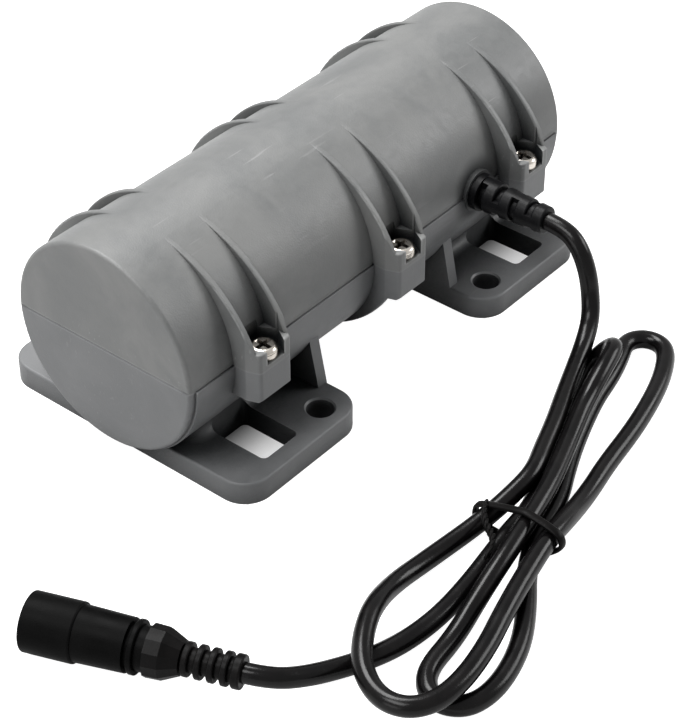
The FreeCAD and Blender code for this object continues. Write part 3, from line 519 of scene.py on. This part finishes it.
def wound_copper(name):
    """Enamelled wire laid turn by turn along the stator's length, with painted shade between
    the turns.
    """
    # The dark colour between the turns is painted shade.
    gap_shade, crown = (0.16, 0.045, 0.012), (0.56, 0.20, 0.06)
    finish = Finish(name)
    waves = finish.tree.nodes.new("ShaderNodeTexWave")
    waves.inputs["Scale"].default_value = 700.0
    waves.inputs["Distortion"].default_value = 1.2
    waves.bands_direction = "Y"
    finish.tree.links.new(finish.position, waves.inputs["Vector"])
    finish.colour(finish.blend(waves.outputs["Fac"], gap_shade, crown))
    finish.relief(waves.outputs["Fac"], distance=0.0002, strength=0.7)
    finish.shader.inputs["Metallic"].default_value = 0.6
    finish.shader.inputs["Roughness"].default_value = 0.3
    return finish.material


def dress(material, *names):
    for name in names:
        mesh = cad_nodes[name].data
        mesh.materials.clear()
        mesh.materials.append(material)


# ---- stage --------------------------------------------------------------
# Strength of the world: almost none on matt surfaces, a pale surround in shiny ones.
diffuse_world = 0.01
glossy_world = 0.70
# Each lamp's name, place and power in watts; all share one face size and one aim.
lamp_face = (0.50, 0.35)
lamp_aim = Vector((-0.01, -0.03, 0.02))
lamps = (
    ("rear_softbox", (0.10, 0.40, 0.80), 9.7),
    ("side_softbox", (-0.50, 0.10, 0.75), 5.5),
    ("right_fill", (0.70, -0.50, 0.45), 4.4),
    ("left_fill", (-0.95, 0.05, 0.25), 1.4),
)
floor_size = 3.0
floor_drop = 0.00005            # keeps the paper just clear of the feet
floor_in_gloss = 0.50
# The paper under the feet is dark, but for a painted light that grows outward in the windows.
foot_start, foot_end = 0.0215, 0.0530
foot_half_width = 0.0307
painted_light_fade = (0.0120, 0.0265)
painted_window_light = 0.62


def glow_strength(tree, in_gloss):
    """1 where it is looked at directly or through glass, less in reflections."""
    path = tree.nodes.new("ShaderNodeLightPath")
    seen = math_node(tree, "MAXIMUM", path.outputs["Is Camera Ray"],
                     path.outputs["Is Transmission Ray"])
    mirrored = math_node(tree, "MULTIPLY", path.outputs["Is Glossy Ray"], in_gloss)
    return math_node(tree, "MAXIMUM", seen, mirrored)


def open_paper(tree):
    """Mask of 1 on the paper, less under the two feet, but for the painted light in their
    windows.
    """
    place = tree.nodes.new("ShaderNodeTexCoord")
    axes = tree.nodes.new("ShaderNodeSeparateXYZ")
    tree.links.new(place.outputs["Object"], axes.inputs[0])
    along = math_node(tree, "ABSOLUTE", axes.outputs["X"])
    across = math_node(tree, "ABSOLUTE", axes.outputs["Y"])
    under = math_node(tree, "MULTIPLY", math_node(tree, "GREATER_THAN", along, foot_start),
                      math_node(tree, "LESS_THAN", along, foot_end))
    under = math_node(tree, "MULTIPLY", under,
                      math_node(tree, "LESS_THAN", across, foot_half_width))
    # Painted light: the paper in the windows glows more towards the feet's sides.
    painted_light = math_node(tree, "MULTIPLY", smooth_step(tree, across, *painted_light_fade), painted_window_light)
    return inverse(tree, math_node(tree, "MULTIPLY", under, inverse(tree, painted_light)))


def white_paper():
    """Bright from above and clear from below, so that the underside can be seen."""
    material = bpy.data.materials.new("white_paper")
    material.use_nodes = True
    tree = material.node_tree
    shader = tree.nodes["Principled BSDF"]
    shader.inputs["Base Color"].default_value = (0.55, 0.55, 0.55, 1)
    shader.inputs["Roughness"].default_value = 0.9
    shader.inputs["Specular IOR Level"].default_value = 0.1
    shader.inputs["Emission Color"].default_value = (1, 1, 1, 1)
    tree.links.new(math_node(tree, "MULTIPLY", glow_strength(tree, floor_in_gloss),
                             open_paper(tree)), shader.inputs["Emission Strength"])
    clear = tree.nodes.new("ShaderNodeBsdfTransparent")
    either = tree.nodes.new("ShaderNodeMixShader")
    facing = tree.nodes.new("ShaderNodeNewGeometry")
    tree.links.new(facing.outputs["Backfacing"], either.inputs[0])
    tree.links.new(shader.outputs[0], either.inputs[1])
    tree.links.new(clear.outputs[0], either.inputs[2])
    tree.links.new(either.outputs[0], tree.nodes["Material Output"].inputs["Surface"])
    return material


def lay_floor():
    bm = bmesh.new()
    bmesh.ops.create_grid(bm, x_segments=1, y_segments=1, size=floor_size)
    mesh = bpy.data.meshes.new("floor")
    bm.to_mesh(mesh)
    bm.free()
    mesh.materials.append(white_paper())
    floor = bpy.data.objects.new("floor", mesh)
    floor.location = (0, 0, -floor_drop)
    bpy.context.scene.collection.objects.link(floor)


def light_studio():
    world = bpy.data.worlds.new("studio")
    world.use_nodes = True
    bpy.context.scene.world = world
    tree = world.node_tree
    back = tree.nodes["Background"]
    back.inputs["Color"].default_value = (1, 1, 1, 1)
    strength = math_node(tree, "MAXIMUM", glow_strength(tree, glossy_world), diffuse_world)
    tree.links.new(strength, back.inputs["Strength"])
    for name, place, power in lamps:
        data = bpy.data.lights.new(name, "AREA")
        data.shape = "RECTANGLE"
        data.size, data.size_y = lamp_face
        data.energy = power
        lamp = bpy.data.objects.new(name, data)
        lamp.location = place
        lamp.rotation_euler = (Vector(place) - lamp_aim).to_track_quat("Z", "Y").to_euler()
        bpy.context.scene.collection.objects.link(lamp)


# ---- build --------------------------------------------------------------
bpy.context.scene.view_settings.view_transform = "Standard"
set_camera()
lead = lay_lead()
tie = wind_tie()

shell_grey = casing_plastic(
    "shell_grey_upper", dark=(0.127, 0.131, 0.131), light=(0.172, 0.174, 0.171),
    rub=(0.26, 0.26, 0.26), rubbed=0.60)
base_grey = casing_plastic(
    "shell_grey_lower", dark=(0.122, 0.126, 0.129), light=(0.152, 0.155, 0.158),
    rub=(0.25, 0.25, 0.25), rubbed=0.22)
jacket = black_moulding(
    "lead_jacket", base=(0.0022, 0.0020, 0.0022), sheen=(0.0042, 0.0037, 0.0038),
    rough=(0.17, 0.26), grain_scale=2200.0, grain_depth=0.00003, shine=0.17)
rubber = black_moulding(
    "gland_rubber", base=(0.0022, 0.0022, 0.0026), sheen=(0.0044, 0.0044, 0.0050),
    rough=(0.34, 0.46), grain_scale=2600.0, grain_depth=0.00005, shine=0.10)
moulded_black = black_moulding(
    "connector_black", base=(0.0018, 0.0018, 0.0018), sheen=(0.0034, 0.0034, 0.0034),
    rough=(0.40, 0.52), grain_scale=3000.0, grain_depth=0.00004, shine=0.03)
tail_black = black_moulding(
    "connector_tail_black", base=(0.0022, 0.0020, 0.0020), sheen=(0.0040, 0.0035, 0.0035),
    rough=(0.36, 0.48), grain_scale=3000.0, grain_depth=0.00004, shine=0.07)
nickel = plated_metal(
    "screw_nickel", (0.66, 0.62, 0.57), (0.50, 0.46, 0.41), rough=(0.16, 0.32), shade_reach=0.0040)
bright_steel = plated_metal(
    "bearing_steel", (0.62, 0.62, 0.63), (0.55, 0.55, 0.56), rough=(0.12, 0.25))
zinc = plated_metal(
    "can_zinc", (0.55, 0.57, 0.58), (0.45, 0.47, 0.49), rough=(0.28, 0.42))
cast_alloy = plated_metal(
    "bell_alloy", (0.60, 0.61, 0.62), (0.50, 0.51, 0.52), rough=(0.38, 0.5))
core_steel = plated_metal(
    "core_steel", (0.20, 0.20, 0.22), (0.14, 0.14, 0.15), rough=(0.4, 0.5), lines=2500.0)
magnet_plate = plated_metal(
    "magnet_nickel", (0.42, 0.42, 0.43), (0.36, 0.36, 0.37), rough=(0.2, 0.3))
yellow_brass = plated_metal(
    "turned_brass", (0.60, 0.44, 0.16), (0.50, 0.36, 0.13), rough=(0.22, 0.34))
sintered = plated_metal(
    "weight_steel", (0.24, 0.25, 0.27), (0.17, 0.18, 0.19), rough=(0.42, 0.55))
black_oxide = plated_metal(
    "set_screw_oxide", (0.045, 0.045, 0.05), (0.03, 0.03, 0.03), rough=(0.35, 0.5))
contact_metal = plated_metal(
    "contact_nickel", (0.66, 0.64, 0.56), (0.56, 0.54, 0.48), rough=(0.18, 0.3))
green_board = plain_board("green_board", (0.010, 0.09, 0.035), (0.014, 0.12, 0.05))
black_epoxy = plain_board("black_epoxy", (0.012, 0.012, 0.012), (0.02, 0.02, 0.02))
red_lead = plain_board("lead_insulation", (0.30, 0.02, 0.015), (0.36, 0.03, 0.02))
copper = wound_copper("winding_copper")

lead.data.materials.append(jacket)
tie.data.materials.append(tail_black)
dress(shell_grey, "upper_shell")
dress(base_grey, "lower_shell")
dress(nickel, "cover_screws")
dress(rubber, "cable_gland", "seam_seal")
dress(moulded_black, "connector_shell")
dress(tail_black, "connector_boot")
dress(contact_metal, "connector_sleeve_contact", "connector_pin")
dress(zinc, "motor_can")
dress(cast_alloy, "front_end_bell", "rear_end_bell")
dress(core_steel, "stator_core", "rotor_core")
dress(copper, "stator_coils")
dress(green_board, "driver_board")
dress(black_epoxy, "board_components")
dress(bright_steel, "rotor_shaft", "front_bearing_outer_ring", "rear_bearing_outer_ring",
      "front_bearing_inner_ring", "rear_bearing_inner_ring", "front_bearing_balls",
      "rear_bearing_balls")
dress(magnet_plate, "rotor_magnets")
dress(yellow_brass, "shaft_spacers", "front_bearing_cage", "rear_bearing_cage")
dress(sintered, "front_weight", "rear_weight")
dress(black_oxide, "weight_set_screws")
dress(red_lead, "power_leads")

lay_floor()
light_studio()
